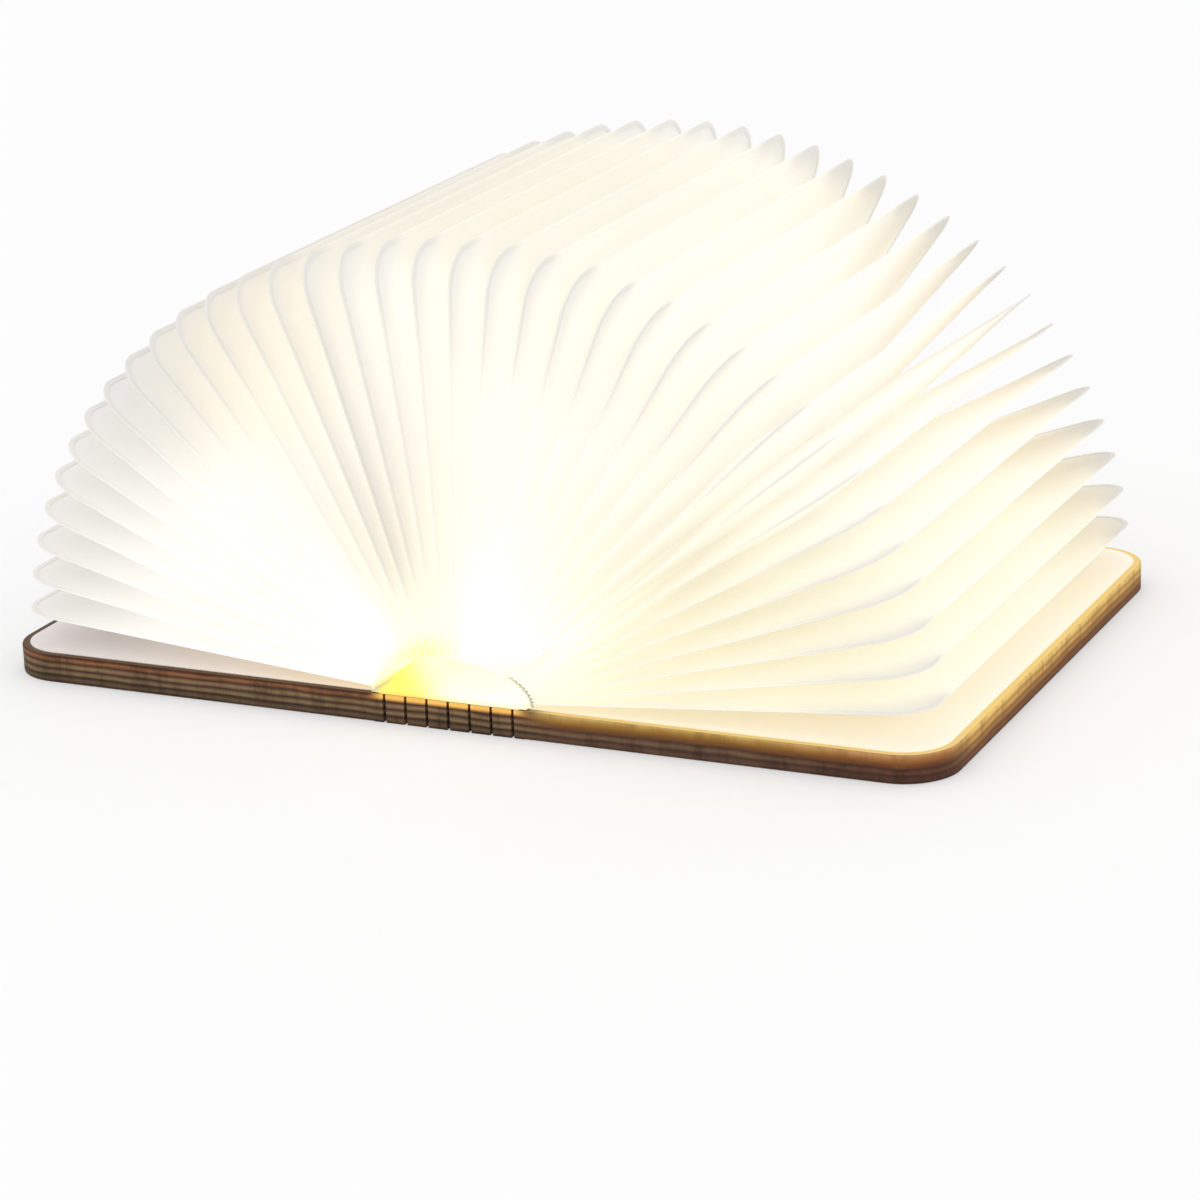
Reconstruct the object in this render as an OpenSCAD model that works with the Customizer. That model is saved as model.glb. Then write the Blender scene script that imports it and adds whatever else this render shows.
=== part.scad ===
// Folding book lamp, lying open: two wooden covers on a laser-cut living hinge,
// a fan of U-shaped double paper leaves between them, and a light module on the spine.
// X runs to the right cover, Y along the spine and Z up. The origin is on the table,
// under the middle of the spine.

/* [Covers] */
// Length of the boards along the spine
board_l = 122; // [100:1:150]
// Thickness of the boards
board_t = 5.2; // [4.2:0.1:6.5]
// Width of one cover, from its last kerf row to its fore-edge
cover_w = 79.4; // [74:0.2:120]
// Radius of the covers' outer corners
cover_corner_r = 10; // [3:0.5:16]

/* [Living hinge] */
// Distance between kerf rows that run out at the ends of the spine
kerf_pitch = 4.2; // [3.6:0.1:5]
// Number of such rows on each side of the spine's middle
kerf_rows = 3; // [3]
// Width of one laser kerf
kerf_w = 0.6; // [0.3:0.05:0.8]
// Number of slots along one closed kerf row
kerf_cells = 3; // [2:1:5]
// Length of the wood left between two slots of a row
kerf_bridge = 4; // [2:0.5:8]

/* [Paper leaves] */
// Number of leaves in the fan
leaf_count = 36; // [36]
// Thickness of one sheet of paper
paper_t = 0.14; // [0.08:0.01:0.18]
// Length of a leaf, from its inner edge to its fore-edge
leaf_l = 74; // [60:0.5:76]
// Distance by which the leaves stay inside the ends of the boards
leaf_inset = 1.5; // [0.5:0.1:4]
// Width of the two arms of a leaf
leaf_arm_w = 22; // [14:0.5:22]
// Width of the paper along the fore-edge of a leaf
leaf_fore_w = 22; // [14:0.5:30]
// Radius of a leaf's outer corners
leaf_corner_r = 7; // [2:0.5:12]
// Radius of the corners of a leaf's window
leaf_window_r = 8; // [3:0.5:16]

/* [Arch over the spine] */
// Half width of the arch that the inner edges of the leaves form
arch_half_w = 15.4; // [14:0.1:17]
// Rise of that arch
arch_rise = 7; // [5.5:0.1:9]
// Clearance between the boards and the foot of the arch
arch_clearance = 0.3; // [0.2:0.05:1]

/* [End sheets] */
// Distance by which an end sheet stays inside the fore-edge
end_sheet_inset = 1.5; // [0.5:0.1:4]
// Distance of an end sheet from the last kerf row
end_sheet_setback = 1.2; // [0.5:0.1:4]

/* [Light module] */
// Distance between the ends of the housing and the arms of the leaves
module_gap = 2.5; // [1:0.5:8]
// Width of the housing
module_w = 12.4; // [11.6:0.1:13]
// Wall of the housing
module_wall = 1; // [0.8:0.1:1.4]
// Width of the housing's foot
foot_w = 6; // [5:0.1:7]
// Height of the foot before it flares out
foot_h = 1.2; // [1:0.1:2]
// Height of the flare from the foot to the tray
flare_h = 2.6; // [2:0.1:3.5]
// Height of the tray's side walls above the flare
tray_h = 6.5; // [6.2:0.1:9]
// Thickness of the tray's floor
tray_floor = 0.6; // [0.5:0.1:1]
// Thickness of the adhesive pad under the foot
pad_t = 0.5; // [0.3:0.1:1]
// Width of the ledge that carries the light board
ledge_w = 0.8; // [0.5:0.1:1.2]
// Depth of that ledge below the rim of the tray
ledge_depth = 1.2; // [1:0.1:1.6]

/* [Light board and diffuser] */
// Thickness of the light board
light_board_t = 1; // [0.8:0.1:1.2]
// Number of light-emitting diodes
led_count = 9; // [5:2:11]
// Length of one diode along the board
led_l = 2.8; // [2:0.1:3.5]
// Width of one diode
led_w = 3.5; // [2:0.1:4]
// Height of one diode
led_h = 0.7; // [0.5:0.1:1]
// Wall of the diffuser
diffuser_wall = 1; // [0.8:0.1:1.2]
// Radius of the screws' shanks
screw_r = 0.8; // [0.6:0.05:1]
// Length of the screws' shanks
screw_l = 4; // [3:0.5:4.5]
// Radius of the screws' heads
screw_head_r = 1.5; // [1.2:0.1:1.8]
// Height of the screws' heads
screw_head_h = 0.8; // [0.5:0.1:1]

/* [Battery and charging] */
// Length of the battery
battery_l = 44; // [30:1:50]
// Width of the battery
battery_w = 8.2; // [6:0.1:8.4]
// Thickness of the battery
battery_t = 4.4; // [3:0.1:4.6]
// Width of the charging board
charge_board_w = 9; // [8.9:0.1:9.4]
// Distance between the housing and the charging board
charge_board_gap = 2.5; // [1:0.5:5]
// Thickness of the charging board
charge_board_t = 1; // [0.8:0.1:1.2]
// Height of the tail that carries the charging board
tail_h = 0.7; // [0.5:0.1:1]
// Width of the charging socket's shell
socket_w = 8.94; // [8.9:0.01:9]
// Height of the shell
socket_h = 3.2; // [3.1:0.05:3.3]
// Length of the shell
socket_l = 7.3; // [6.5:0.1:8]
// Wall of the shell
socket_wall = 0.3; // [0.25:0.05:0.35]
// Thickness of the tongue inside the socket
tongue_t = 0.7; // [0.6:0.05:0.8]
// Radius of one lead wire
wire_r = 0.4; // [0.3:0.05:0.5]
// Distance between the two lead wires
wire_gap = 4.4; // [3.6:0.1:5]

/* [Magnets and sensor] */
// Radius of the magnets that hold the covers shut
cover_magnet_r = 4; // [3:0.1:5]
// Thickness of those magnets
cover_magnet_t = 2.5; // [1.5:0.1:3]
// Distance of those magnets from the fore-edge
cover_magnet_x = 8; // [6.5:0.5:12]
// Distance between the two magnets of a cover
cover_magnet_gap = 70; // [30:1:80]
// Radius of the magnet that the sensor feels
sensor_magnet_r = 2; // [1.5:0.1:3]
// Thickness of that magnet
sensor_magnet_t = 1.5; // [1:0.1:2]
// Clearance round a magnet in its pocket
pocket_clearance = 0.1; // [0.05:0.05:0.2]

/* [Hidden] */
$fn = 48;

hinge_x = kerf_rows * kerf_pitch;          // last kerf row, where a cover starts
fore_x = hinge_x + cover_w;                // fore-edge of a cover
cell = board_l / kerf_cells;               // one slot and one bridge
slot_l = cell - kerf_bridge;
cut = 1;                                   // by which cutters run past a face

leaf_t = 2 * paper_t;                      // a leaf is two sheets
leaf_half_l = board_l / 2 - leaf_inset;    // half of a leaf's length along the spine
leaf_step = 180 / (leaf_count + 1);        // angle between neighbouring leaves
window_half_l = leaf_half_l - leaf_arm_w;  // half of the window in a leaf

module_l = 2 * (window_half_l - module_gap);
foot_z = board_t + pad_t;
flare_z = foot_z + foot_h;
tray_z = flare_z + flare_h;
rim_z = tray_z + tray_h;
floor_z = tray_z + tray_floor;
ledge_z = rim_z - ledge_depth;
tray_half = module_w / 2 - module_wall;    // half width of the tray's upper part
cell_half = tray_half - ledge_w;           // half width below the ledge
light_board_clearance = 0.1;
light_board_half = tray_half - light_board_clearance;
light_board_half_l = module_l / 2 - module_wall - light_board_clearance;
boss_l = 5;                                // screw bosses at both ends of the tray
screw_y = module_l / 2 - module_wall - boss_l / 2;
screw_clearance = 0.08;
led_span = module_l - 2 * (module_wall + boss_l) - led_l;
diffuser_r = module_w / 2;

tail_end = leaf_half_l;                    // the tail reaches as far as the leaves do
charge_board_l = tail_end - module_l / 2 - charge_board_gap;
charge_z = foot_z + tail_h;
charge_top = charge_z + charge_board_t;
wire_inset = 1.5;
wire_y = tail_end - charge_board_l + wire_inset;  // where the wires stand on that board
wire_low_z = charge_top + 2 * wire_r;
wire_rise_y = module_l / 2 + min(module_gap, charge_board_gap) / 2;
wire_hole_clearance = 0.2;
wire_z = floor_z + wire_r + 2 * wire_hole_clearance;

wood = "BurlyWood";
paper = "Ivory";
white_plastic = "WhiteSmoke";
metal = "Silver";

// Slots of one kerf row at x. A row that is shifted by half a cell runs out at both ends.
module kerf_row(x, shifted) {
    count = shifted ? kerf_cells + 1 : kerf_cells;
    for (i = [0:count - 1])
        translate([x, (i - (count - 1) / 2) * cell, board_t / 2])
            cube([kerf_w, slot_l, board_t + 2 * cut], center = true);
}

// A stretch of the board between two kerf rows that run out at the ends
module board_strip(x0, x1) {
    difference() {
        translate([x0, -board_l / 2, 0])
            cube([x1 - x0, board_l, board_t]);
        kerf_row(x0, true);
        kerf_row(x1, true);
        for (x = [x0 + kerf_pitch / 2:kerf_pitch:x1])
            kerf_row(x, false);
    }
}

module spine_core() {
    color(wood)
        difference() {
            board_strip(-kerf_pitch, kerf_pitch);
            kerf_row(0, true);
        }
}

module hinge_strip(side, row) {
    color(wood)
        mirror([side < 0 ? 1 : 0, 0, 0])
            board_strip(row * kerf_pitch, (row + 1) * kerf_pitch);
}

// Outline with its straight side on x0 and two round corners of radius r at x1
module round_fore_edge(x0, x1, half, r) {
    translate([x0, -half])
        square([x1 - x0 - r, 2 * half]);
    translate([x1 - r - cut, r - half])
        square([r + cut, 2 * (half - r)]);
    for (s = [-1, 1])
        translate([x1 - r, s * (half - r)])
            circle(r);
}

module magnet_pocket(x, y, r, depth) {
    translate([x, y, board_t - depth])
        cylinder(r = r + pocket_clearance, h = depth + cut);
}

// Right-hand cover with its half of the last kerf row and the magnets' pockets
module cover_board() {
    difference() {
        linear_extrude(board_t)
            round_fore_edge(hinge_x, fore_x, board_l / 2, cover_corner_r);
        kerf_row(hinge_x, true);
        for (s = [-1, 1])
            magnet_pocket(fore_x - cover_magnet_x, s * cover_magnet_gap / 2,
                          cover_magnet_r, cover_magnet_t);
    }
}

sensor_magnet_pos = [-hinge_x - 4, board_l / 2 - 12];

module right_cover() {
    color(wood) cover_board();
}

module left_cover() {
    color(wood)
        difference() {
            mirror([1, 0, 0]) cover_board();
            magnet_pocket(sensor_magnet_pos.x, sensor_magnet_pos.y,
                          sensor_magnet_r, sensor_magnet_t);
        }
}

// Two magnets of one cover, flush with its inner face
module cover_magnets(side) {
    color(metal)
        for (s = [-1, 1])
            translate([side * (fore_x - cover_magnet_x), s * cover_magnet_gap / 2,
                       board_t - cover_magnet_t])
                cylinder(r = cover_magnet_r, h = cover_magnet_t);
}

module sensor_magnet() {
    color(metal)
        translate([sensor_magnet_pos.x, sensor_magnet_pos.y, board_t - sensor_magnet_t])
            cylinder(r = sensor_magnet_r, h = sensor_magnet_t);
}

// Paper lining glued to the inner face of one cover
module end_sheet(side) {
    color(paper)
        mirror([side < 0 ? 1 : 0, 0, 0])
            translate([0, 0, board_t])
                linear_extrude(paper_t)
                    round_fore_edge(hinge_x + end_sheet_setback, fore_x - end_sheet_inset,
                                    leaf_half_l, cover_corner_r - end_sheet_inset);
}

// Flat outline of one leaf, its inner edge on x = 0: a U open towards the spine
module leaf_outline() {
    difference() {
        round_fore_edge(0, leaf_l, leaf_half_l, leaf_corner_r);
        round_fore_edge(-cut, leaf_l - leaf_fore_w, window_half_l, leaf_window_r);
    }
}

// Leaf k of the fan, counted from the left. Its inner edge lies on the arch.
module leaf(k) {
    angle = k * leaf_step;
    color(paper)
        translate([-arch_half_w * cos(angle), 0,
                   board_t + arch_clearance + arch_rise * sin(angle)])
            rotate([0, angle - 180, 0])
                linear_extrude(leaf_t, center = true)
                    leaf_outline();
}

module adhesive_pad() {
    color("DimGray")
        translate([-foot_w / 2, -module_l / 2, board_t])
            cube([foot_w, module_l / 2 + tail_end, pad_t]);
}

// Cross-section of the housing: a narrow foot that flares out into a tray
module housing_profile() {
    half_foot = foot_w / 2;
    half = module_w / 2;
    polygon([[-half_foot, foot_z], [half_foot, foot_z], [half_foot, flare_z],
             [half, tray_z], [half, rim_z], [-half, rim_z], [-half, tray_z],
             [-half_foot, flare_z]]);
}

// Two lead wires as cutters or as wires: from the charging board back to the gap before
// the housing, up in that gap, and through the end wall into the tray
module wire_run(r, inner_end) {
    for (s = [-1, 1])
        translate([s * wire_gap / 2, 0, 0]) {
            translate([0, wire_y, charge_top])
                cylinder(r = r, h = wire_low_z - charge_top);
            translate([0, wire_y, wire_low_z])
                sphere(r);
            translate([0, wire_y, wire_low_z])
                rotate([90, 0, 0])
                    cylinder(r = r, h = wire_y - wire_rise_y);
            translate([0, wire_rise_y, wire_low_z])
                sphere(r);
            translate([0, wire_rise_y, wire_low_z])
                cylinder(r = r, h = wire_z - wire_low_z);
            translate([0, wire_rise_y, wire_z])
                sphere(r);
            translate([0, wire_rise_y, wire_z])
                rotate([90, 0, 0])
                    cylinder(r = r, h = wire_rise_y - inner_end);
        }
}

module module_housing() {
    inner_l = module_l - 2 * module_wall;
    color(white_plastic)
        difference() {
            union() {
                translate([0, module_l / 2, 0])
                    rotate([90, 0, 0])
                        linear_extrude(module_l)
                            housing_profile();
                translate([-foot_w / 2, module_l / 2 - cut, foot_z])
                    cube([foot_w, tail_end - module_l / 2 + cut, tail_h]);
            }
            translate([-tray_half, -inner_l / 2, ledge_z])
                cube([2 * tray_half, inner_l, ledge_depth + cut]);
            translate([-cell_half, boss_l - inner_l / 2, floor_z])
                cube([2 * cell_half, inner_l - 2 * boss_l, rim_z]);
            for (s = [-1, 1])
                translate([0, s * screw_y, ledge_z - screw_l - cut])
                    cylinder(r = screw_r + screw_clearance, h = screw_l + 2 * cut);
            wire_run(wire_r + wire_hole_clearance, module_l / 2 - module_wall - boss_l - cut);
        }
}

module battery() {
    edge_r = battery_t / 2;
    color("SteelBlue")
        translate([0, battery_l / 2, floor_z + edge_r])
            rotate([90, 0, 0])
                linear_extrude(battery_l) {
                    square([battery_w - battery_t, battery_t], center = true);
                    for (s = [-1, 1])
                        translate([s * (battery_w / 2 - edge_r), 0])
                            circle(edge_r);
                }
}

module light_board() {
    color("White")
        difference() {
            translate([-light_board_half, -light_board_half_l, ledge_z])
                cube([2 * light_board_half, 2 * light_board_half_l, light_board_t]);
            for (s = [-1, 1])
                translate([0, s * screw_y, ledge_z - cut])
                    cylinder(r = screw_r + screw_clearance, h = light_board_t + 2 * cut);
        }
}

module light_board_screws() {
    head_z = ledge_z + light_board_t;
    socket_r = screw_head_r / 2;
    color(metal)
        for (s = [-1, 1])
            translate([0, s * screw_y, head_z])
                difference() {
                    union() {
                        translate([0, 0, -screw_l])
                            cylinder(r = screw_r, h = screw_l);
                        cylinder(r = screw_head_r, h = screw_head_h);
                    }
                    translate([0, 0, screw_head_h / 2])
                        cylinder(r = socket_r, h = screw_head_h, $fn = 6);
                }
}

module light_diodes() {
    color("Gold")
        for (i = [0:led_count - 1])
            translate([0, (i / (led_count - 1) - 0.5) * led_span,
                       ledge_z + light_board_t + led_h / 2])
                cube([led_w, led_l, led_h], center = true);
}

// Capsule of radius r whose round ends stay inside the length of the housing
module capsule(r) {
    straight = module_l / 2 - diffuser_r;
    translate([0, straight, rim_z])
        rotate([90, 0, 0])
            cylinder(r = r, h = 2 * straight);
    for (s = [-1, 1])
        translate([0, s * straight, rim_z])
            sphere(r);
}

module diffuser() {
    color("Khaki")
        difference() {
            capsule(diffuser_r);
            capsule(diffuser_r - diffuser_wall);
            translate([-module_w, -module_l, rim_z - 2 * module_w])
                cube([2 * module_w, 2 * module_l, 2 * module_w]);
        }
}

module charge_board() {
    color("ForestGreen")
        translate([-charge_board_w / 2, tail_end - charge_board_l, charge_z])
            cube([charge_board_w, charge_board_l, charge_board_t]);
}

// Round-ended outline of the socket, w wide and h high
module socket_outline(w, h) {
    square([w - h, h], center = true);
    for (s = [-1, 1])
        translate([s * (w - h) / 2, 0])
            circle(h / 2);
}

module charge_socket() {
    tongue_w = socket_w - socket_h;
    color(metal)
        translate([0, tail_end, charge_top + socket_h / 2])
            rotate([90, 0, 0]) {
                difference() {
                    linear_extrude(socket_l)
                        socket_outline(socket_w, socket_h);
                    translate([0, 0, -cut])
                        linear_extrude(socket_l + cut - socket_wall)
                            socket_outline(socket_w - 2 * socket_wall,
                                           socket_h - 2 * socket_wall);
                }
                translate([-tongue_w / 2, -tongue_t / 2, socket_wall])
                    cube([tongue_w, tongue_t, socket_l - 2 * socket_wall]);
            }
}

module cover_sensor() {
    sensor = [2.9, 1.6, 1.1];
    color("DimGray")
        translate([-charge_board_w / 2 + 0.4, tail_end - charge_board_l / 2 - 2, charge_top])
            cube(sensor);
}

module lead_wires() {
    color("Crimson")
        wire_run(wire_r, battery_l / 2 + 1);
}

left_cover();
right_cover();
spine_core();
hinge_strip(-1, 1);  // left_hinge_strip_1
hinge_strip(-1, 2);  // left_hinge_strip_2
hinge_strip(1, 1);  // right_hinge_strip_1
hinge_strip(1, 2);  // right_hinge_strip_2
end_sheet(-1);  // left_end_sheet
end_sheet(1);  // right_end_sheet
cover_magnets(-1);  // left_cover_magnets
cover_magnets(1);  // right_cover_magnets
sensor_magnet();
adhesive_pad();
module_housing();
battery();
light_board();
light_board_screws();
light_diodes();
diffuser();
charge_board();
charge_socket();
cover_sensor();
lead_wires();
for (k = [1:leaf_count])
    leaf(k);
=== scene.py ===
"""Folding book lamp lying open: a paper bellows between two laser-cut wooden covers.

Lengths are in millimetres until build() turns them into metres; the materials measure
places in metres. X runs to the right cover, Y along the spine away from the viewer, and
Z up from the table.
"""
import math

import bpy
import numpy as np
from mathutils import Matrix, Vector


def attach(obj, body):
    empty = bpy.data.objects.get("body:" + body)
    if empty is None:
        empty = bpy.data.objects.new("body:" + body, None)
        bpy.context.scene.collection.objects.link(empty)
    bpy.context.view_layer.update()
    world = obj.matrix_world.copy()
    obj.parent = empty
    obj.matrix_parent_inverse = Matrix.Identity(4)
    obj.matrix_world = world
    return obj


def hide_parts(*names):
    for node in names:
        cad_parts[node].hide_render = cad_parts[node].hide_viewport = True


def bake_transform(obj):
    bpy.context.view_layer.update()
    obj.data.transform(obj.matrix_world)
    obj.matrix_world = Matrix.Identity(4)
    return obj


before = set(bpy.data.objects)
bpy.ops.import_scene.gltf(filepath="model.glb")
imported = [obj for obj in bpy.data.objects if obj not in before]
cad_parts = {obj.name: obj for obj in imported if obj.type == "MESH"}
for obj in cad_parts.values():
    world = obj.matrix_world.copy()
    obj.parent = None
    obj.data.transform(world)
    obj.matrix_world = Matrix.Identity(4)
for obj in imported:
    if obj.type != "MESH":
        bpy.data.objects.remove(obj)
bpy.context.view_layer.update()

MM = 0.001
SIDES = ((-1, "left"), (1, "right"))

BOARD_T = 5.2            # thickness of the wooden board
BOARD_HALF = 61.0        # half of its length along the spine
KERF_ROWS = 3            # on each side, of those kerf rows that run out at the ends
KERF_PITCH = 4.2         # between such rows
KERF_W = 0.6
KERF_CELLS = 3
KERF_BRIDGE = 4.0
FLEX_IN = KERF_PITCH / 2                     # the board bends from here
FLEX_OUT = (KERF_ROWS + 0.5) * KERF_PITCH    # to here
FORE_X = 92.0            # fore-edge of a cover
COVER_R = 10.0           # corner radius of a cover
EASE = 0.22              # rounding of the board's sharp edges
END_STOPS = (0.0, 12.0, 40.0)        # points on a cover's straight ends, from FLEX_OUT
CORNER_POINTS = 15       # on its corners
FORE_POINTS = 8          # on its fore-edge, with the last points of both corners

LEAVES = 36
ARCH_HALF_W = 15.4       # the feet of the leaves stand on this half ellipse
ARCH_RISE = 7.0
ARCH_Z = 5.5
LEAF_L = 74.0
LEAF_HALF = 59.5
LEAF_R = 7.0
WINDOW_HALF = 37.5
WINDOW_L = 52.0
WINDOW_R = 8.0
PAPER_T = 0.14
LIP = 0.5                # flat lip outside the pleats' glue line
LIP_BEVEL = 0.12         # the lip thins out over this width
LIP_EDGE = 0.05          # to half of this thickness on each side
HEM = 0.6                # strip that joins the feet of the leaves at both ends
END_GLUE_Z = BOARD_T + PAPER_T + 0.04        # glue line of the outermost pleats

LINING_X = 15.2          # half width of the paper over the hinge
LINING_HALF = 60.6
LINING_GAP = 0.02        # clearance under it
LAP_X = 13.6             # it laps over the end sheets from here
LAP_RUN = 0.4            # and has climbed on to them after this distance
FOOT_X = 3.3             # its cut-out leaves room for the lamp module's foot
FOOT_Y = -35.3


# Meshes

def build(name, points, faces, marks=None):
    """Mesh object from points in millimetres, with its rest place kept for the textures.

    The marks are numbers on its points or faces, by name, which the materials read.
    """
    co = np.asarray(points, float) * MM
    mesh = bpy.data.meshes.new(name)
    mesh.from_pydata(co.tolist(), [], [tuple(int(i) for i in f) for f in faces])
    rest = mesh.attributes.new("rest", "FLOAT_VECTOR", "POINT")
    rest.data.foreach_set("vector", co.astype(np.float32).ravel())
    for key, (domain, values) in (marks or {}).items():
        layer = mesh.attributes.new(key, "FLOAT", domain)
        layer.data.foreach_set("value", np.asarray(values, np.float32))
    mesh.polygons.foreach_set("use_smooth", [False] * len(mesh.polygons))
    mesh.update()
    obj = bpy.data.objects.new(name, mesh)
    bpy.context.collection.objects.link(obj)
    return obj


def strip_faces(rails, count, closed=False):
    """Quads between neighbouring rails, each a run of count points."""
    faces = []
    for r in range(rails if closed else rails - 1):
        a, b = r * count, (r + 1) % rails * count
        faces += [(a + i, a + i + 1, b + i + 1, b + i) for i in range(count - 1)]
    return faces


def dress(obj, material):
    obj.data.materials.clear()
    obj.data.materials.append(material)


# Node helpers

def new_material(name):
    material = bpy.data.materials.new(name)
    material.use_nodes = True
    tree = material.node_tree
    tree.nodes.clear()
    out = tree.nodes.new("ShaderNodeOutputMaterial")
    shader = tree.nodes.new("ShaderNodeBsdfPrincipled")
    tree.links.new(shader.outputs[0], out.inputs[0])
    return material, tree, shader


def glow_unsampled(material):
    """The glow shows, but isn't sampled as a lamp."""
    material.cycles.emission_sampling = "NONE"


def plug(tree, made, inputs):
    """Link or set a node's sockets, given by name or number."""
    for key, value in inputs.items():
        if isinstance(value, bpy.types.NodeSocket):
            tree.links.new(value, made.inputs[key])
        else:
            made.inputs[key].default_value = value


def node(tree, kind, inputs, **settings):
    made = tree.nodes.new("ShaderNode" + kind)
    for key, value in settings.items():
        setattr(made, key, value)
    plug(tree, made, inputs)
    return made


def math_node(tree, operation, *values):
    return node(tree, "Math", dict(enumerate(values)), operation=operation).outputs[0]


def product(tree, first, *others):
    for value in others:
        first = math_node(tree, "MULTIPLY", first, value)
    return first


def largest(tree, first, *others):
    for value in others:
        first = math_node(tree, "MAXIMUM", first, value)
    return first


def sway(tree, value, wander, amount):
    """The value, moved up and down by a noise round one half."""
    return math_node(tree, "ADD", value,
                     product(tree, math_node(tree, "SUBTRACT", wander, 0.5), amount))


def vector_node(tree, operation, *vectors, output=0):
    return node(tree, "VectorMath", dict(enumerate(vectors)), operation=operation).outputs[output]


def length(tree, vector):
    return vector_node(tree, "LENGTH", vector, output="Value")


def axis_parts(tree, vector):
    parts = node(tree, "SeparateXYZ", {0: vector})
    return parts.outputs[0], parts.outputs[1], parts.outputs[2]


def smooth_range(tree, value, low, high, to_low=0.0, to_high=1.0):
    made = node(tree, "MapRange", {"Value": value, "From Min": low, "From Max": high,
                                   "To Min": to_low, "To Max": to_high},
                interpolation_type="SMOOTHSTEP")
    return made.outputs[0]


def fade(tree, mask, low):
    """1 where the mask is 0, down to low where it is 1."""
    return smooth_range(tree, mask, 0.0, 1.0, 1.0, low)


def ramp(tree, value, stops):
    made = node(tree, "ValToRGB", {0: value})
    elements = made.color_ramp.elements
    while len(elements) < len(stops):
        elements.new(0.5)
    for element, (place, colour) in zip(elements, stops):
        element.position = place
        element.color = (*colour, 1.0)
    return made.outputs[0]


def mix_colour(tree, factor, a, b, blend="MIX"):
    """Colour a where the factor is 0 and b where it is 1."""
    made = tree.nodes.new("ShaderNodeMix")
    made.data_type = "RGBA"
    made.blend_type = blend
    plug(tree, made, {0: factor, 6: (*a, 1.0) if isinstance(a, tuple) else a,
                      7: (*b, 1.0) if isinstance(b, tuple) else b})
    return made.outputs[2]


def paint(tree, base, *layers):
    """The base colour with layers over it, each a mask and a colour."""
    for mask, colour in layers:
        base = mix_colour(tree, mask, base, colour)
    return base


def attribute(tree, name, output="Fac"):
    return node(tree, "Attribute", {}, attribute_name=name).outputs[output]


def rest_place(tree):
    """Rest place of an own mesh, in metres."""
    return attribute(tree, "rest", "Vector")


def object_place(tree):
    """Place on a CAD node, in metres."""
    return node(tree, "TexCoord", {}).outputs["Object"]


def noise(tree, vector, scale, detail=3.0, roughness=0.5, stretch=(1, 1, 1)):
    mapped = node(tree, "Mapping", {"Vector": vector, "Scale": stretch}).outputs[0]
    return node(tree, "TexNoise", {"Vector": mapped, "Scale": scale, "Detail": detail,
                                   "Roughness": roughness}).outputs[0]


def bump(tree, shader, height, strength, distance):
    made = node(tree, "Bump", {"Height": height, "Strength": strength, "Distance": distance})
    tree.links.new(made.outputs[0], shader.inputs["Normal"])


# Paper materials

def paper_fibres(tree, place):
    return noise(tree, place, 700.0, detail=4.0, roughness=0.65)


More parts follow.
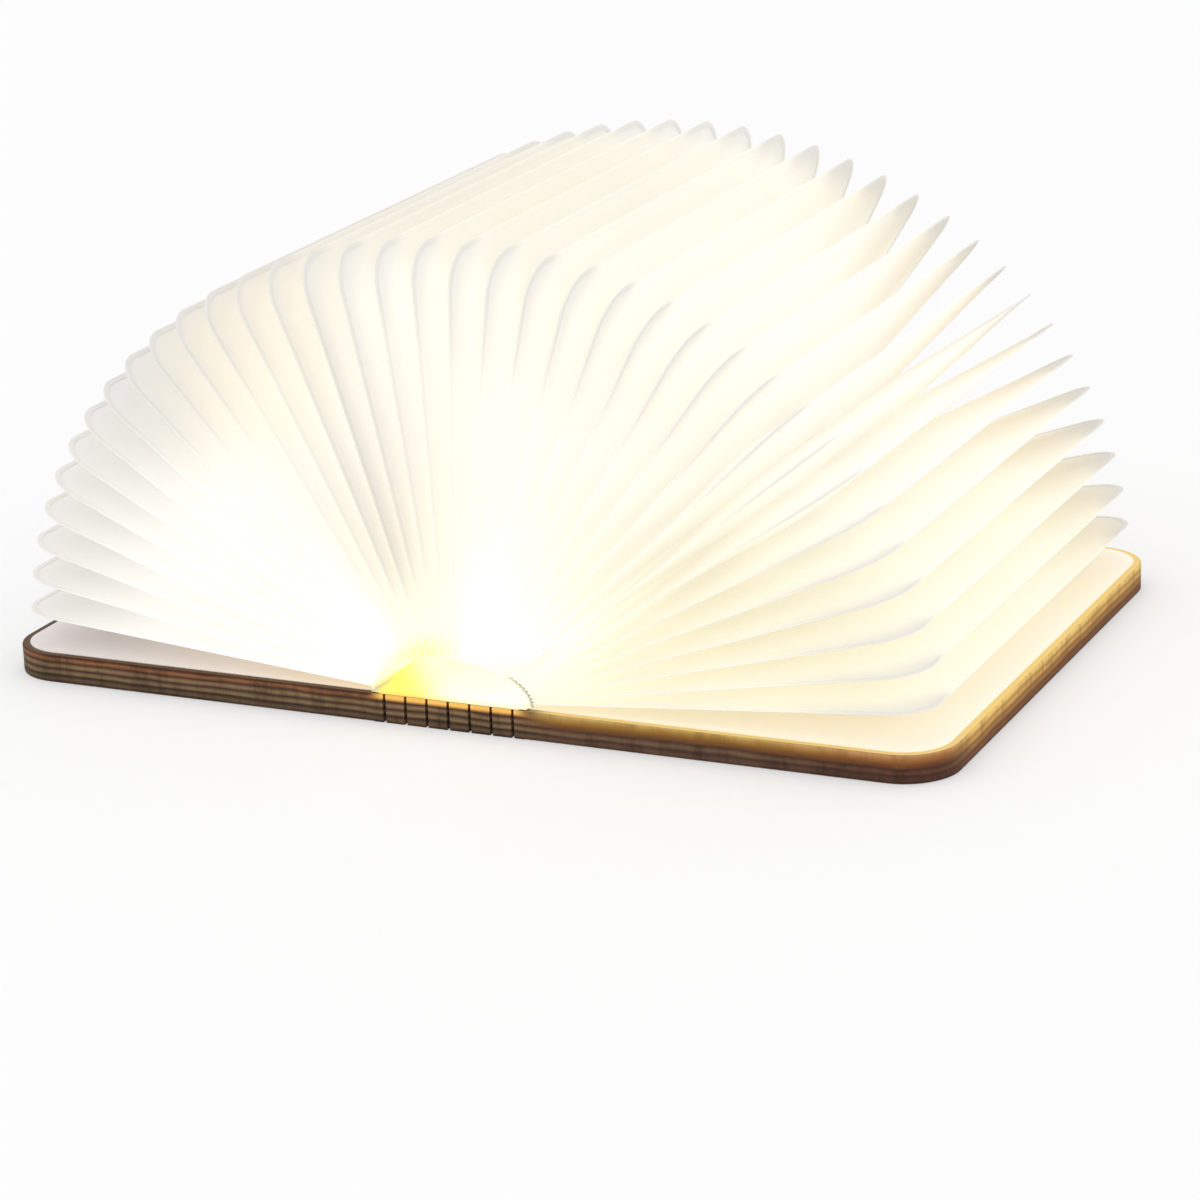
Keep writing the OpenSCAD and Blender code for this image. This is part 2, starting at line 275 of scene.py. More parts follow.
def paper_material(name):
    """Cream pleating paper, its light from within painted on: grey lips, warm flanks, white
    depths.
    """
    material, tree, shader = new_material(name)
    place = rest_place(tree)
    x, y, z = axis_parts(tree, place)
    # radius from the spine's axis, and lean: 0 flat on the right, pi flat on the left
    radius = length(tree, node(tree, "CombineXYZ", {0: x, 2: z}).outputs[0])
    lean = math_node(tree, "ARCTAN2", z, x)
    fibres = paper_fibres(tree, place)
    cloud = noise(tree, place, 55.0, detail=2.0)
    depth = math_node(tree, "SUBTRACT", 1.0, attribute(tree, "fold"))
    crease = smooth_range(tree, depth, 0.055, 0.0)

    # parts of the fan, for the painted light and shade
    right = smooth_range(tree, x, -0.02, 0.05)
    low_right = product(tree, smooth_range(tree, x, 0.0, 0.05),
                        smooth_range(tree, z, 0.055, 0.010))
    upper_left = product(tree, smooth_range(tree, lean, 2.45, 2.15),
                         smooth_range(tree, lean, 1.75, 2.0),
                         smooth_range(tree, radius, 0.050, 0.075))
    # painted lamp light by the arch: warm glow at the feet, yellow on the left ones
    foot = smooth_range(tree, radius, 0.0225, 0.0135)
    left_foot = product(tree, smooth_range(tree, radius, 0.0185, 0.0130),
                        smooth_range(tree, x, 0.004, -0.007, 0.0, 0.7))
    # painted shade: the rear ends of the right-hand leaves lie farthest from the lamp, so they are
    # greyer and glow less
    rear = product(tree, smooth_range(tree, y, 0.016, 0.054),
                   smooth_range(tree, x, 0.02, 0.05),
                   smooth_range(tree, radius, 0.064, 0.088))
    rear_tip = product(tree, smooth_range(tree, y, 0.036, 0.058),
                       smooth_range(tree, x, 0.0, 0.035),
                       smooth_range(tree, radius, 0.074, 0.089),
                       smooth_range(tree, z, 0.014, 0.032, 0.4, 1.0))
    # painted shade: the hem shows as a dark line on the right of the arch
    hem = product(tree, smooth_range(tree, attribute(tree, "hem"), 0.92, 0.95),
                  smooth_range(tree, x, 0.0095, 0.0130, 0.0, 0.68))

    # glare hides the fore-edges between the corners, and the arms away from the tips
    washed = product(tree, smooth_range(tree, lean, 2.06, 1.88),
                     smooth_range(tree, y, -0.054, -0.042),
                     smooth_range(tree, y, 0.052, 0.034))
    clear_from = smooth_range(tree, lean, 2.25, 2.65, 0.068, 0.086)
    clear_to = math_node(tree, "SUBTRACT", clear_from, 0.016)
    left_arms = product(tree, smooth_range(tree, lean, 2.05, 2.30),
                        smooth_range(tree, radius, clear_from, clear_to))
    right_arms = product(tree, smooth_range(tree, radius, 0.074, 0.056),
                         smooth_range(tree, lean, 0.50, 0.80),
                         smooth_range(tree, lean, 1.55, 1.30))
    glare = largest(tree, washed, left_arms, right_arms)
    on_top = product(tree, washed, smooth_range(tree, radius, 0.052, 0.074),
                     smooth_range(tree, lean, 0.90, 1.70, 0.20, 1.0))

    # lips, in painted shade: the upright leaves show theirs along the arms, the far left ones at
    # the tips only
    tip_from = smooth_range(tree, lean, 2.30, 2.62, 0.050, 0.074)
    at_tip = product(tree, smooth_range(tree, radius, tip_from, 0.088),
                     smooth_range(tree, lean, 2.30, 2.70, 1.0, 0.45), fade(tree, washed, 0.1))
    line = product(tree, attribute(tree, "line"),
                   smooth_range(tree, radius, 0.018, 0.034, 0.15, 1.0), fade(tree, washed, 0.2))
    shown = largest(tree, line, at_tip)
    lip = product(tree, crease, smooth_range(tree, shown, 0.0, 1.0, 0.40, 0.90),
                  fade(tree, glare, 0.1))

    base = mix_colour(tree, right, (0.870, 0.866, 0.862), (0.870, 0.860, 0.835))
    base = paint(
        tree, base,
        (product(tree, fibres, 0.08), (0.74, 0.70, 0.62)),
        (rear, (0.825, 0.825, 0.805)),
        (low_right, (0.864, 0.851, 0.792)),
        (on_top, (0.860, 0.842, 0.770)),
        (upper_left, (0.880, 0.855, 0.800)),
        (rear_tip, (0.700, 0.700, 0.680)),
        (left_foot, (0.88, 0.82, 0.36)),
        (lip, mix_colour(tree, at_tip, (0.800, 0.785, 0.715), (0.790, 0.780, 0.765))),
        (hem, (0.46, 0.44, 0.31)))

    warm = ramp(tree, depth, [
        (0.0, (1.0, 0.89, 0.66)), (0.12, (1.0, 0.91, 0.64)),
        (0.35, (1.0, 0.965, 0.87)), (1.0, (1.0, 0.980, 0.93))])
    warm = paint(
        tree, warm,
        (product(tree, glare, 0.8), (1.0, 0.965, 0.87)),
        (low_right, (1.0, 0.93, 0.70)),
        (rear, (1.0, 0.76, 0.42)),
        (foot, mix_colour(tree, left_foot, (1.0, 0.95, 0.72), (1.0, 0.88, 0.26))))

    near = smooth_range(tree, radius, 0.010, 0.050, 0.31, 0.225)
    far = product(tree, smooth_range(tree, radius, 0.058, 0.092),
                  smooth_range(tree, x, 0.0, -0.055, 0.0, 0.165), fade(tree, upper_left, 0.72))
    reach = product(tree, math_node(tree, "SUBTRACT", near, far),
                    fade(tree, low_right, 0.92), fade(tree, on_top, 0.66))
    dull = largest(
        tree,
        product(tree, shown, smooth_range(tree, depth, 0.26, 0.01, 0.0, 0.8)),
        product(tree, crease, smooth_range(tree, glare, 0.0, 1.0, 0.25, 0.0)),
        product(tree, rear, 0.35),
        product(tree, rear_tip, 0.7),
        hem)
    glow = product(tree, reach, math_node(tree, "SUBTRACT", 1.0, dull),
                   smooth_range(tree, cloud, 0.2, 0.8, 0.94, 1.06))

    plug(tree, shader, {"Base Color": base, "Emission Color": warm, "Emission Strength": glow,
                        "Roughness": 0.82, "Specular IOR Level": 0.2})
    bump(tree, shader, fibres, 0.12, 0.0002)
    glow_unsampled(material)
    return material


def end_sheet_material(name):
    """Paper pasted inside a cover, tinted by painted lamp light: pinkish on the left, warmer by
    the hinge and on the right.
    """
    material, tree, shader = new_material(name)
    place = object_place(tree)
    x, y, _ = axis_parts(tree, place)
    fibres = paper_fibres(tree, place)
    # painted lamp light: yellow where it runs under the feet of the left-hand leaves
    by_hinge = product(tree, smooth_range(tree, x, -0.0185, -0.0160),
                       smooth_range(tree, x, 0.0, -0.001),
                       smooth_range(tree, y, -0.0590, -0.0550))
    across = smooth_range(tree, x, -FORE_X * MM, FORE_X * MM)
    base = ramp(tree, across, [
        (0.0, (0.84, 0.80, 0.80)), (0.17, (0.90, 0.83, 0.78)), (0.3, (0.91, 0.81, 0.69)),
        (0.43, (0.92, 0.74, 0.50)), (0.56, (0.93, 0.88, 0.74)), (1.0, (0.92, 0.88, 0.78))])
    base = paint(tree, base, (product(tree, fibres, 0.10), (0.70, 0.62, 0.52)),
                 (by_hinge, (0.90, 0.84, 0.42)))
    warm = mix_colour(tree, smooth_range(tree, x, 0.0, 0.03), (1.0, 0.84, 0.58),
                      (1.0, 0.90, 0.72))
    warm = paint(tree, warm, (by_hinge, (1.0, 0.90, 0.30)))
    glow = largest(tree, product(tree, by_hinge, 0.35),
                   smooth_range(tree, x, -0.105, 0.04, 0.0, 0.14))
    plug(tree, shader, {"Base Color": base, "Emission Color": warm, "Emission Strength": glow,
                        "Roughness": 0.85, "Specular IOR Level": 0.2})
    bump(tree, shader, fibres, 0.12, 0.0002)
    glow_unsampled(material)
    return material


def lining_material(name):
    """Paper lining of the spine, painted with the lamp's full light: yellow, gold by the board's
    edge.
    """
    material, tree, shader = new_material(name)
    place = rest_place(tree)
    x, y, _ = axis_parts(tree, place)
    drift = noise(tree, place, 120.0, detail=2.0)
    across = sway(tree, x, drift, 0.004)
    inward = math_node(tree, "SUBTRACT", LINING_HALF * MM, math_node(tree, "ABSOLUTE", y))
    # painted lamp light: yellow along the left and the front, paler towards the lamp
    to_lamp = math_node(tree, "ADD", across, product(tree, inward, 0.8))
    pale = smooth_range(tree, to_lamp, -0.0085, 0.0045)
    border = smooth_range(tree, inward, 0.0030, 0.0)
    shade = product(tree, smooth_range(tree, across, -0.0128, -0.0150),
                    smooth_range(tree, inward, 0.012, 0.003))
    base = ramp(tree, pale, [(0.0, (0.86, 0.70, 0.18)), (0.5, (0.90, 0.82, 0.45)),
                             (1.0, (0.90, 0.86, 0.74))])
    base = paint(tree, base, (shade, (0.62, 0.64, 0.48)))
    tone = ramp(tree, pale, [(0.0, (1.0, 0.82, 0.16)), (0.3, (1.0, 0.91, 0.28)),
                             (0.6, (1.0, 0.94, 0.48)), (1.0, (1.0, 0.93, 0.62))])
    tone = paint(tree, tone, (border, (1.0, 0.70, 0.12)))
    shine = product(tree, smooth_range(tree, pale, 0.0, 1.0, 0.42, 0.48),
                    fade(tree, shade, 0.12), fade(tree, border, 0.45))
    plug(tree, shader, {"Base Color": base, "Emission Color": tone, "Emission Strength": shine,
                        "Roughness": 0.85, "Specular IOR Level": 0.1})
    bump(tree, shader, drift, 0.1, 0.0002)
    glow_unsampled(material)
    return material


# Wood material

def from_outline(tree, place):
    """Distance inwards from the rounded outline of the open board."""
    corner = ((FORE_X - COVER_R) * MM, (BOARD_HALF - COVER_R) * MM, 1.0)
    past = vector_node(tree, "SUBTRACT", vector_node(tree, "ABSOLUTE", place), corner)
    outside = vector_node(tree, "MAXIMUM", past, (0, 0, 0))
    past_x, past_y, _ = axis_parts(tree, past)
    flat = math_node(tree, "MINIMUM", largest(tree, past_x, past_y), 0.0)
    return math_node(tree, "SUBTRACT", math_node(
        tree, "SUBTRACT", COVER_R * MM, length(tree, outside)), flat)


def wood_material(name):
    """Pale veneer with scorched borders on the faces, laser-burnt plies on the cut edges."""
    material, tree, shader = new_material(name)
    place = rest_place(tree)
    x, y, z = axis_parts(tree, place)
    figure = noise(tree, place, 26.0, detail=5.0, roughness=0.6, stretch=(6.0, 0.35, 6.0))
    pores = noise(tree, place, 420.0, roughness=0.7, stretch=(2.6, 0.12, 2.6))
    soot = noise(tree, place, 260.0, detail=4.0, roughness=0.7, stretch=(1.0, 1.0, 0.25))
    wobble = noise(tree, place, 90.0, detail=2.0, stretch=(1, 1, 3))

    # painted lamp light on the right cover, most of all on its fore-edge
    right = smooth_range(tree, x, 0.012, 0.022)
    lit_edge = product(tree, smooth_range(tree, x, 0.070, 0.088),
                       smooth_range(tree, y, -0.058, -0.040))
    lit_rim = product(tree, largest(tree, lit_edge, right),
                      smooth_range(tree, z, 0.001, 0.004))

    inward = sway(tree, from_outline(tree, place), soot, 0.0009)
    scorch = product(tree, smooth_range(tree, inward, 0.0034, 0.0009),
                     smooth_range(tree, lit_rim, 0.0, 1.0, 0.92, 0.0))
    veneer = ramp(tree, figure, [(0.25, (0.64, 0.44, 0.235)), (0.48, (0.75, 0.55, 0.315)),
                                 (0.62, (0.81, 0.615, 0.370)), (0.8, (0.71, 0.50, 0.275))])
    veneer = paint(tree, veneer,
                   (smooth_range(tree, pores, 0.60, 0.72, 0.0, 0.30), (0.46, 0.29, 0.14)),
                   (lit_rim, (0.86, 0.63, 0.24)),
                   (scorch, (0.062, 0.030, 0.015)))

    # the plies are told apart by their height in the board, from 0 to 1
    ply = sway(tree, math_node(tree, "DIVIDE", z, BOARD_T * MM), wobble, 0.16)
    burnt = ramp(tree, ply, [
        (0.02, (0.036, 0.021, 0.013)), (0.14, (0.135, 0.082, 0.044)),
        (0.27, (0.032, 0.019, 0.012)), (0.38, (0.240, 0.152, 0.080)),
        (0.52, (0.046, 0.027, 0.016)), (0.64, (0.275, 0.170, 0.088)),
        (0.76, (0.054, 0.028, 0.016)), (0.88, (0.300, 0.122, 0.056)),
        (0.97, (0.080, 0.030, 0.014))])
    golden = ramp(tree, ply, [
        (0.04, (0.080, 0.028, 0.012)), (0.20, (0.210, 0.080, 0.026)),
        (0.30, (0.120, 0.042, 0.015)), (0.42, (0.380, 0.180, 0.048)),
        (0.54, (0.260, 0.110, 0.028)), (0.68, (0.640, 0.390, 0.105)),
        (0.80, (0.420, 0.220, 0.050)), (0.93, (0.800, 0.540, 0.170))])
    # painted lamp light and shade on the right cover's cut edges: darker brown and redder towards
    # the fore-edge, upper plies lit gold, the front of the fore-edge lit golden, soot lit brown
    # there
    lamp_lit_plies = ramp(tree, ply, [
        (0.56, (0.120, 0.045, 0.016)), (0.68, (0.200, 0.085, 0.022)),
        (0.76, (0.300, 0.150, 0.032)), (0.86, (0.420, 0.235, 0.052)),
        (0.97, (0.620, 0.410, 0.130))])
    lamp_lit_plies = mix_colour(tree, smooth_range(tree, x, 0.055, 0.082), lamp_lit_plies, (0.92, 0.72, 1.0),
                      blend="MULTIPLY")
    upper_plies = product(tree, right, smooth_range(tree, ply, 0.50, 0.60, 0.0, 0.92))
    soot_with_painted_light = mix_colour(tree, largest(tree, lit_edge, upper_plies),
                             (0.014, 0.008, 0.005), (0.20, 0.09, 0.02))
    burnt = mix_colour(tree, smooth_range(tree, x, 0.050, 0.085), burnt, (0.62, 0.38, 0.36),
                       blend="MULTIPLY")
    burnt = paint(tree, burnt,
                  (product(tree, right, 0.45), (0.110, 0.052, 0.036)),
                  (upper_plies, lamp_lit_plies),
                  (lit_edge, golden),
                  (smooth_range(tree, soot, 0.40, 0.75, 0.0, 0.55), soot_with_painted_light))

    # painted light that spills over the rim of the hinge at both ends
    spill = product(tree,
                    smooth_range(tree, math_node(tree, "ABSOLUTE", x), 0.0160, 0.0128),
                    smooth_range(tree, z, 0.0040, 0.0049),
                    smooth_range(tree, math_node(tree, "ABSOLUTE", y), 0.0606, 0.0608, 0.0, 0.85))
    lit = product(tree, lit_edge, smooth_range(tree, z, 0.0012, 0.0052, 0.0, 0.05))

    cut = attribute(tree, "cut")
    plug(tree, shader, {
        "Base Color": mix_colour(tree, cut, veneer, burnt),
        "Emission Color": (1.0, 0.58, 0.11, 1.0),
        "Emission Strength": math_node(tree, "ADD", lit, spill),
        "Roughness": math_node(tree, "ADD", product(tree, figure, 0.2), 0.5),
        "Specular IOR Level": 0.1})
    bump(tree, shader, mix_colour(tree, cut, pores, soot), 0.25, 0.0003)
    glow_unsampled(material)
    return material


# Materials of the lamp module

def plastic_material(name, colour, roughness, glow=0.0, glow_colour=(1, 1, 1)):
    """Moulded plastic with a faint mottling."""
    material, tree, shader = new_material(name)
    place = object_place(tree)
    mottle = noise(tree, place, 900.0)
    drift = noise(tree, place, 60.0, detail=2.0)
    darker = tuple(c * 0.86 for c in colour)
    plug(tree, shader, {
        "Base Color": mix_colour(tree, smooth_range(tree, drift, 0.3, 0.7), darker, colour),
        "Roughness": smooth_range(tree, mottle, 0.2, 0.8, roughness - 0.08, roughness + 0.08)})
    if glow:
        plug(tree, shader, {
            "Emission Color": (*glow_colour, 1.0),
            "Emission Strength": smooth_range(tree, drift, 0.2, 0.8, glow * 0.85, glow * 1.1)})
    bump(tree, shader, mottle, 0.08, 0.0002)
    return material


def metal_material(name, colour, roughness):
    """Brushed or plated metal with fine turning marks."""
    material, tree, shader = new_material(name)
    marks = noise(tree, object_place(tree), 500.0, stretch=(1.0, 1.0, 14.0))
    darker = tuple(c * 0.8 for c in colour)
    plug(tree, shader, {
        "Base Color": mix_colour(tree, marks, darker, colour),
        "Metallic": 1.0,
        "Roughness": smooth_range(tree, marks, 0.2, 0.8, roughness - 0.08, roughness + 0.12)})
    bump(tree, shader, marks, 0.1, 0.0001)
    return material


# Paper
#
# Marks for its material: fold is 1 on the outlines of the leaves and 0 on the inner folds,
# line tells how much painted shade a lip gets along its arm, and hem is 1 at the feet of the
# leaves.

def to_right(along):
    """Direction in X-Z that a leaf's right side faces."""
    return np.array([along[1], -along[0]])


def leaf_line(k):
    """Foot of leaf k and its direction, both in X-Z. Halves lie midway between two leaves."""
    angle = math.pi * k / (LEAVES + 1)
    foot = np.array([-ARCH_HALF_W * math.cos(angle), ARCH_Z + ARCH_RISE * math.sin(angle)])
    return foot, np.array([-math.cos(angle), math.sin(angle)])


def u_path(reach, half, radius, arm=7, arc=8, side=8):
    """(distance from the foot, Y) along a leaf's U, from the front arm's foot to the rear's."""
    front = [(t * (reach - radius), -half) for t in np.linspace(0, 1, arm + 1)]
    for t in np.linspace(0, math.pi / 2, arc + 1)[1:]:
        front.append((reach - radius + radius * math.sin(t),
                      -(half - radius) - radius * math.cos(t)))
    span = half - radius
    middle = [(reach, y) for y in np.linspace(-span, span, side + 1)[1:-1]]
    rear = [(s, -y) for s, y in reversed(front)]
    return np.array(front + middle + rear)


RIDGE = u_path(LEAF_L - LIP, LEAF_HALF - LIP, LEAF_R - LIP)
VALLEY = u_path(WINDOW_L, WINDOW_HALF, WINDOW_R)
RUN = len(RIDGE)
# lower and upper edge of the front hem, then of the rear one: (distance from the foot, Y)
HEMS = np.array([(0.0, -LEAF_HALF + LIP), (HEM, -LEAF_HALF + LIP),
                 (0.0, LEAF_HALF - LIP), (HEM, LEAF_HALF - LIP)])
HEM_RUN = 2 * len(HEMS)              # points of a front and a rear hem between two leaves


def in_space(k, path, off=0.0):
    """Points of a path that lies in the plane of leaf k, off to its right by off."""
    foot, along = leaf_line(k)
    across = to_right(along)
    s, y = path[:, 0], path[:, 1]
    return np.column_stack([foot[0] + s * along[0] + off * across[0], y,
                            foot[1] + s * along[1] + off * across[1]])


def line_of(k):
    """How much painted shade the lip of leaf k gets along its arm: the upright leaves stand out.
    """
    return 0.10 + 0.75 * math.exp(-((k - 15.2) / 2.6) ** 2) + 0.10 * (k % 3 == 0)


def hem_faces(first):
    """Quads of the front and rear hems, between two runs of HEMS points."""
    return [(first, first + 1, first + 5, first + 4), (first + 2, first + 3, first + 7, first + 6)]


def rim_band(k):
    """Creased lip along the outline of leaf k: two sheets of paper, closed all round."""
    section = [(0.0, LIP_EDGE), (LIP_BEVEL, PAPER_T), (LIP * 2, PAPER_T),
               (LIP * 2, -PAPER_T), (LIP_BEVEL, -PAPER_T), (0.0, -LIP_EDGE)]
    rails = [in_space(k, u_path(LEAF_L - i, LEAF_HALF - i, LEAF_R - i), off)
             for i, off in section]
    at_foot = np.zeros(RUN)
    at_foot[[0, -1]] = 1.0
    marks = {"fold": ("POINT", np.ones(len(section) * RUN)),
             "line": ("POINT", np.full(len(section) * RUN, line_of(k))),
             "hem": ("POINT", np.tile(at_foot, len(section)))}
    faces = strip_faces(len(rails), RUN, closed=True)
    faces.append(tuple(r * RUN for r in range(len(rails))))
    faces.append(tuple(r * RUN + RUN - 1 for r in reversed(range(len(rails)))))
    obj = build(f"leaf_rim_{k:02d}", np.concatenate(rails), faces, marks)
    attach(obj, f"leaf_{k}")
    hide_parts(f"leaf_{k}")
    return obj


def pleat(k):
    """Two panels from the rim of leaf k down to the inner fold and up to leaf k + 1."""
    rails = [in_space(k, RIDGE), in_space(k + 0.5, VALLEY), in_space(k + 1, RIDGE),
             in_space(k, HEMS), in_space(k + 1, HEMS)]
    marks = {"fold": ("POINT", np.repeat([1.0, 0.0, 1.0, 1.0], [RUN, RUN, RUN, HEM_RUN])),
             "line": ("POINT", np.repeat([line_of(k), line_of(k + 1), line_of(k)],
                                         [2 * RUN, RUN, HEM_RUN])),
             "hem": ("POINT", np.repeat([0.0, 1.0], [3 * RUN, HEM_RUN]))}
    faces = strip_faces(3, RUN) + hem_faces(3 * RUN)
    obj = build(f"pleat_{k:02d}", np.concatenate(rails), faces, marks)
    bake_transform(obj)
    return obj


def end_pleat(side, tag):
    """Panel from the rim of the last leaf down to its glue line on the end sheet."""
    k = LEAVES if side > 0 else 1
    foot, along = leaf_line(k)

    def glued(path):
        return np.column_stack([side * (abs(foot[0]) + path[:, 0]), path[:, 1],
                                np.full(len(path), END_GLUE_Z)])

    rails = [in_space(k, RIDGE), glued(VALLEY), in_space(k, HEMS), glued(HEMS)]
    marks = {"fold": ("POINT", np.repeat([1.0, 0.0, 1.0], [RUN, RUN, HEM_RUN])),
             "line": ("POINT", np.full(2 * RUN + HEM_RUN, line_of(k))),
             "hem": ("POINT", np.repeat([0.0, 1.0], [2 * RUN, HEM_RUN]))}
    obj = build(f"{tag}_end_pleat", np.concatenate(rails),
                strip_faces(2, RUN) + hem_faces(2 * RUN), marks)
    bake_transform(obj)
    return obj


paper = paper_material("pleating_paper")
for k in range(1, LEAVES + 1):
    dress(rim_band(k), paper)
for k in range(1, LEAVES):
    dress(pleat(k), paper)
for side, tag in SIDES:
    dress(end_pleat(side, tag), paper)


# Wooden board

def slot_spans(shifted):
    """Y spans that a kerf row cuts."""
    cell = 2 * BOARD_HALF / KERF_CELLS
    slot = cell - KERF_BRIDGE
    count = KERF_CELLS + 1 if shifted else KERF_CELLS
    centres = [(i - (count - 1) / 2) * cell for i in range(count)]
    return [(max(c - slot / 2, -BOARD_HALF), min(c + slot / 2, BOARD_HALF)) for c in centres]


def slab(name, xs, ys, heights, solid):
    """Flat piece made of grid cells; solid(x, y) tells which are there.

    heights(x) gives its lower and upper Z. The X ends have no end faces.
    """
    xs, ys = sorted(xs), sorted(ys)

    def filled(i, j):
        if not (0 <= i < len(xs) - 1 and 0 <= j < len(ys) - 1):
            return False
        return solid((xs[i] + xs[i + 1]) / 2, (ys[j] + ys[j + 1]) / 2)

    index, points, faces, cut = {}, [], [], []

    def corner(i, j, top):
        key = (i, j, top)
        if key not in index:
            index[key] = len(points)
            points.append((xs[i], ys[j], heights(xs[i])[top]))
        return index[key]

    for i in range(len(xs) - 1):
        for j in range(len(ys) - 1):
            if not filled(i, j):
                continue
            ring = ((i, j), (i + 1, j), (i + 1, j + 1), (i, j + 1))
            faces.append(tuple(corner(*c, True) for c in ring))
            faces.append(tuple(corner(*c, False) for c in reversed(ring)))
            cut += [0, 0]
            for n, (di, dj) in enumerate(((0, -1), (1, 0), (0, 1), (-1, 0))):
                at_end = di and not 0 <= i + di < len(xs) - 1
                if at_end or filled(i + di, j + dj):
                    continue
                a, b = ring[n], ring[(n + 1) % 4]
                faces.append((corner(*a, False), corner(*b, False),
                              corner(*b, True), corner(*a, True)))
                cut.append(1)
    return build(name, points, faces, {"cut": ("FACE", cut)})


def lattice(name, low, high):
    """Piece of the living hinge between two X places, with its kerfs cut right through."""
    rows = []
    for i in range(-2 * KERF_ROWS, 2 * KERF_ROWS + 1):
        x = i * KERF_PITCH / 2
        rows.append((x - KERF_W / 2, x + KERF_W / 2, slot_spans(i % 2 == 0)))
    xs = {low, high} | {v for a, b, _ in rows for v in (a, b) if low < v < high}
    ys = {-BOARD_HALF, BOARD_HALF}
    ys |= {round(v, 6) for _, _, spans in rows for span in spans for v in span}

    def solid(x, y):
        return not any(a < x < b and any(s < y < e for s, e in spans) for a, b, spans in rows)

    return slab(name, xs, ys, lambda x: (0.0, BOARD_T), solid)


def lining(name, low, high):
    """Paper over the inside of the hinge, cut out from the lamp module's foot to the rear end."""
    # a point about every millimetre, and one at each bend and at the cut-out's sides
    xs = set(np.linspace(low, high, max(3, int(high - low) + 1)).round(3).tolist())
    for place in (FOOT_X, LAP_X, LAP_X + LAP_RUN):
        xs |= {v for v in (-place, place) if low < v < high}
    ys = {-LINING_HALF, FOOT_Y, LINING_HALF}

    def heights(x):
        lapped = min(max((abs(x) - LAP_X) / LAP_RUN, 0), 1)
        under = BOARD_T + LINING_GAP + (PAPER_T + LINING_GAP) * lapped
        return under, under + PAPER_T

    return slab(name, xs, ys, heights, lambda x, y: abs(x) > FOOT_X or y < FOOT_Y)


def cover_outline(side, inset):
    """Outline of a cover from its front inner end round the fore-edge, drawn in by inset."""
    x, half, r = FORE_X - inset, BOARD_HALF - inset, COVER_R - inset
    front = [(FLEX_OUT + stop, -half) for stop in END_STOPS]
    for t in np.linspace(0, math.pi / 2, CORNER_POINTS):
        front.append((x - r + r * math.sin(t), -(half - r) - r * math.cos(t)))
    middle = [(x, y) for y in np.linspace(-(half - r), half - r, FORE_POINTS)[1:-1]]
    rear = [(px, -py) for px, py in reversed(front)]
    return np.array([(side * px, py) for px, py in front + middle + rear])


def cover_board(side, tag):
    """A cover beyond the hinge, open towards it, with eased edges."""
    section = [(EASE, 0.0), (EASE * 0.3, EASE * 0.3), (0.0, EASE), (0.0, BOARD_T - EASE),
               (EASE * 0.3, BOARD_T - EASE * 0.3), (EASE, BOARD_T)]
    rails = []
    for inset, z in section:
        line = cover_outline(side, inset)
        rails.append(np.column_stack([line, np.full(len(line), z)]))
    count = len(rails[0])
    faces = strip_faces(len(rails), count)
    cut = [1] * len(faces)
    # the faces are strips between points that face each other across the cover
    top = (len(rails) - 1) * count
    for i in range(count // 2 - 1):
        a, b, c, d = i, i + 1, count - 2 - i, count - 1 - i
        faces.append((top + a, top + b, top + c, top + d))
        faces.append((d, c, b, a))
        cut += [0, 0]
    obj = build(f"{tag}_board", np.concatenate(rails), faces, {"cut": ("FACE", cut)})
    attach(obj, f"{tag}_cover")
    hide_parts(f"{tag}_cover")
    return obj


wood = wood_material("burnt_plywood")
core = lattice("spine_lattice", -FLEX_IN, FLEX_IN)
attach(core, "spine")
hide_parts("spine_core")
dress(core, wood)
for side, tag in SIDES:
    low, high = sorted((side * FLEX_IN, side * FLEX_OUT))
    hinge = lattice(f"{tag}_lattice", low, high)
    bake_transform(hinge)
    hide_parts(f"{tag}_hinge_strip_1", f"{tag}_hinge_strip_2")
    dress(hinge, wood)
    dress(cover_board(side, tag), wood)

lit_paper = lining_material("lining_paper")
middle = lining("spine_lining", -FLEX_IN, FLEX_IN)
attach(middle, "spine")
dress(middle, lit_paper)
for side, tag in SIDES:
    wing = lining(f"{tag}_lining", *sorted((side * FLEX_IN, side * LINING_X)))
    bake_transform(wing)
    dress(wing, lit_paper)


# CAD nodes that stay

LOOKS = (
    (end_sheet_material("end_sheet_paper"), ["left_end_sheet", "right_end_sheet"]),
    (metal_material("magnet_plate", (0.62, 0.62, 0.65), 0.3),
     ["left_cover_magnets", "right_cover_magnets", "sensor_magnet"]),
    (plastic_material("pad_foam", (0.80, 0.79, 0.76), 0.8), ["adhesive_pad"]),
    (plastic_material("housing_white", (0.90, 0.88, 0.82), 0.4), ["module_housing"]),
    (plastic_material("battery_film", (0.16, 0.30, 0.52), 0.3), ["battery"]),
    (plastic_material("board_mask", (0.88, 0.88, 0.86), 0.35), ["light_board"]),
    (metal_material("screw_zinc", (0.74, 0.74, 0.76), 0.25),
     ["light_board_screws", "charge_socket"]),
    (plastic_material("diode_phosphor", (0.95, 0.78, 0.30), 0.3, glow=6.0,
                      glow_colour=(1.0, 0.82, 0.42)), ["light_diodes"]),
    (plastic_material("diffuser_frost", (0.98, 0.95, 0.86), 0.5, glow=3.0,
                      glow_colour=(1.0, 0.86, 0.55)), ["diffuser"]),
    (plastic_material("board_green", (0.05, 0.22, 0.10), 0.35), ["charge_board"]),
    (plastic_material("sensor_black", (0.03, 0.03, 0.03), 0.5), ["cover_sensor"]),
    (plastic_material("wire_red", (0.55, 0.05, 0.04), 0.4), ["lead_wires"]),
)
for material, names in LOOKS:
    for name in names:
        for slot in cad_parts[name].material_slots:
            slot.material = material


# Floor, light and camera

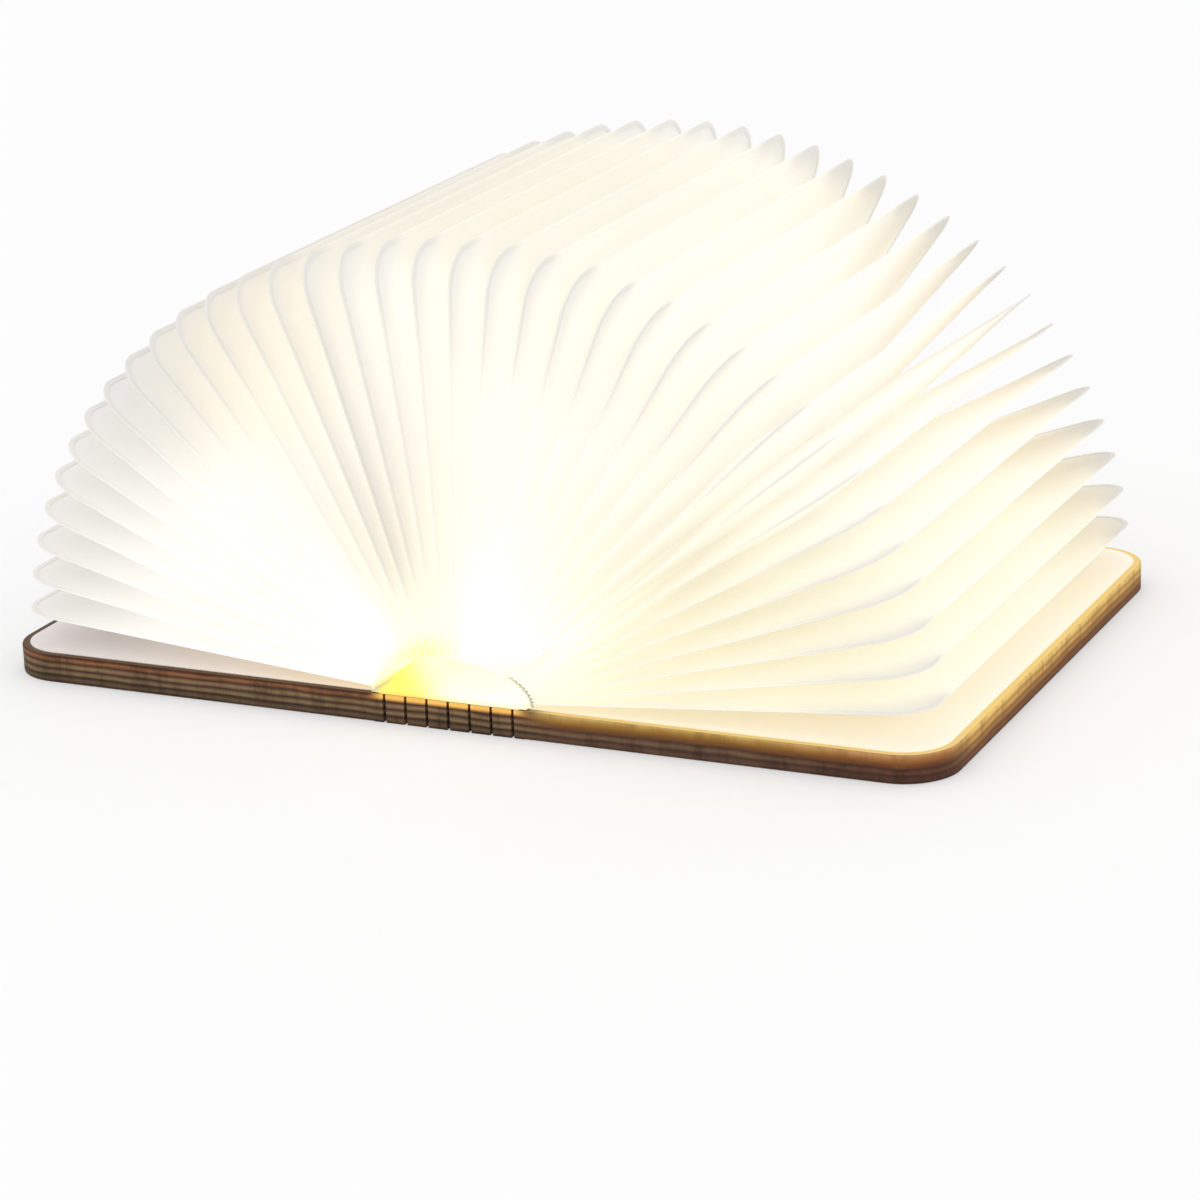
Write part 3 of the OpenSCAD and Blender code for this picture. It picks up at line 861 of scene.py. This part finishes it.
FLOOR_HALF = 6000.0
FLOOR_Z = -0.05
FLOOR_GLOW = 0.308       # lifts the floor to the near-white of a light studio
WORLD_LIGHT = 1.045
KEY_PLACE, KEY_TARGET = (-0.7, -0.9, 1.3), (0, 0, 0.03)      # in metres
KEY_SIZE = 0.9
KEY_ENERGY = 0.8

# the photograph's view, fitted to the corners of the covers and the tips of the leaves
VIEW_AZIMUTH, VIEW_ELEVATION, VIEW_ROLL = 24.88, 18.31, -2.16
VIEW_TARGET = (49.46, -102.34, 40.0)
VIEW_DISTANCE = 645.4
PICTURE_PX = 1200
FOCAL_PX = 4041.8
SHIFT_PX = 13.1
SENSOR = 36.0


def make_floor():
    points = [(-FLOOR_HALF, -FLOOR_HALF, FLOOR_Z), (FLOOR_HALF, -FLOOR_HALF, FLOOR_Z),
              (FLOOR_HALF, FLOOR_HALF, FLOOR_Z), (-FLOOR_HALF, FLOOR_HALF, FLOOR_Z)]
    floor = build("floor", points, [(0, 1, 2, 3)])
    material, tree, shader = new_material("studio_floor")
    tone = noise(tree, rest_place(tree), 1.5, detail=2.0)
    plug(tree, shader, {
        "Base Color": mix_colour(tree, tone, (0.62, 0.62, 0.625), (0.635, 0.635, 0.635)),
        "Emission Color": (1.0, 1.0, 1.0, 1.0),
        "Emission Strength": FLOOR_GLOW,
        "Roughness": 0.9,
        "Specular IOR Level": 0.1})
    glow_unsampled(material)
    floor.data.materials.append(material)


def make_world():
    world = bpy.data.worlds.new("studio")
    bpy.context.scene.world = world
    world.use_nodes = True
    background = world.node_tree.nodes["Background"]
    background.inputs[0].default_value = (1.0, 1.0, 1.0, 1.0)
    background.inputs[1].default_value = WORLD_LIGHT


def make_key_light():
    data = bpy.data.lights.new("key", "AREA")
    data.shape = "DISK"
    data.size = KEY_SIZE
    data.energy = KEY_ENERGY
    lamp = bpy.data.objects.new("key", data)
    bpy.context.collection.objects.link(lamp)
    lamp.location = KEY_PLACE
    direction = Vector(KEY_TARGET) - Vector(KEY_PLACE)
    lamp.rotation_euler = direction.to_track_quat("-Z", "Y").to_euler()


def make_camera():
    azimuth, elevation = math.radians(VIEW_AZIMUTH), math.radians(VIEW_ELEVATION)
    back = Vector((math.sin(azimuth) * math.cos(elevation),
                   -math.cos(azimuth) * math.cos(elevation), math.sin(elevation)))
    data = bpy.data.cameras.new("camera")
    data.sensor_width = SENSOR
    data.lens = FOCAL_PX / PICTURE_PX * SENSOR
    data.shift_y = SHIFT_PX / PICTURE_PX
    data.clip_start, data.clip_end = 0.01, 50.0
    camera = bpy.data.objects.new("camera", data)
    bpy.context.collection.objects.link(camera)
    roll = Matrix.Rotation(math.radians(VIEW_ROLL), 3, "Z")
    turn = back.to_track_quat("Z", "Y").to_matrix() @ roll
    place = Vector(VIEW_TARGET) * MM + back * VIEW_DISTANCE * MM
    camera.matrix_world = Matrix.Translation(place) @ turn.to_4x4()
    bpy.context.scene.camera = camera


make_floor()
make_world()
make_key_light()
make_camera()

scene = bpy.context.scene
scene.view_settings.view_transform = "Standard"
scene.view_settings.look = "None"
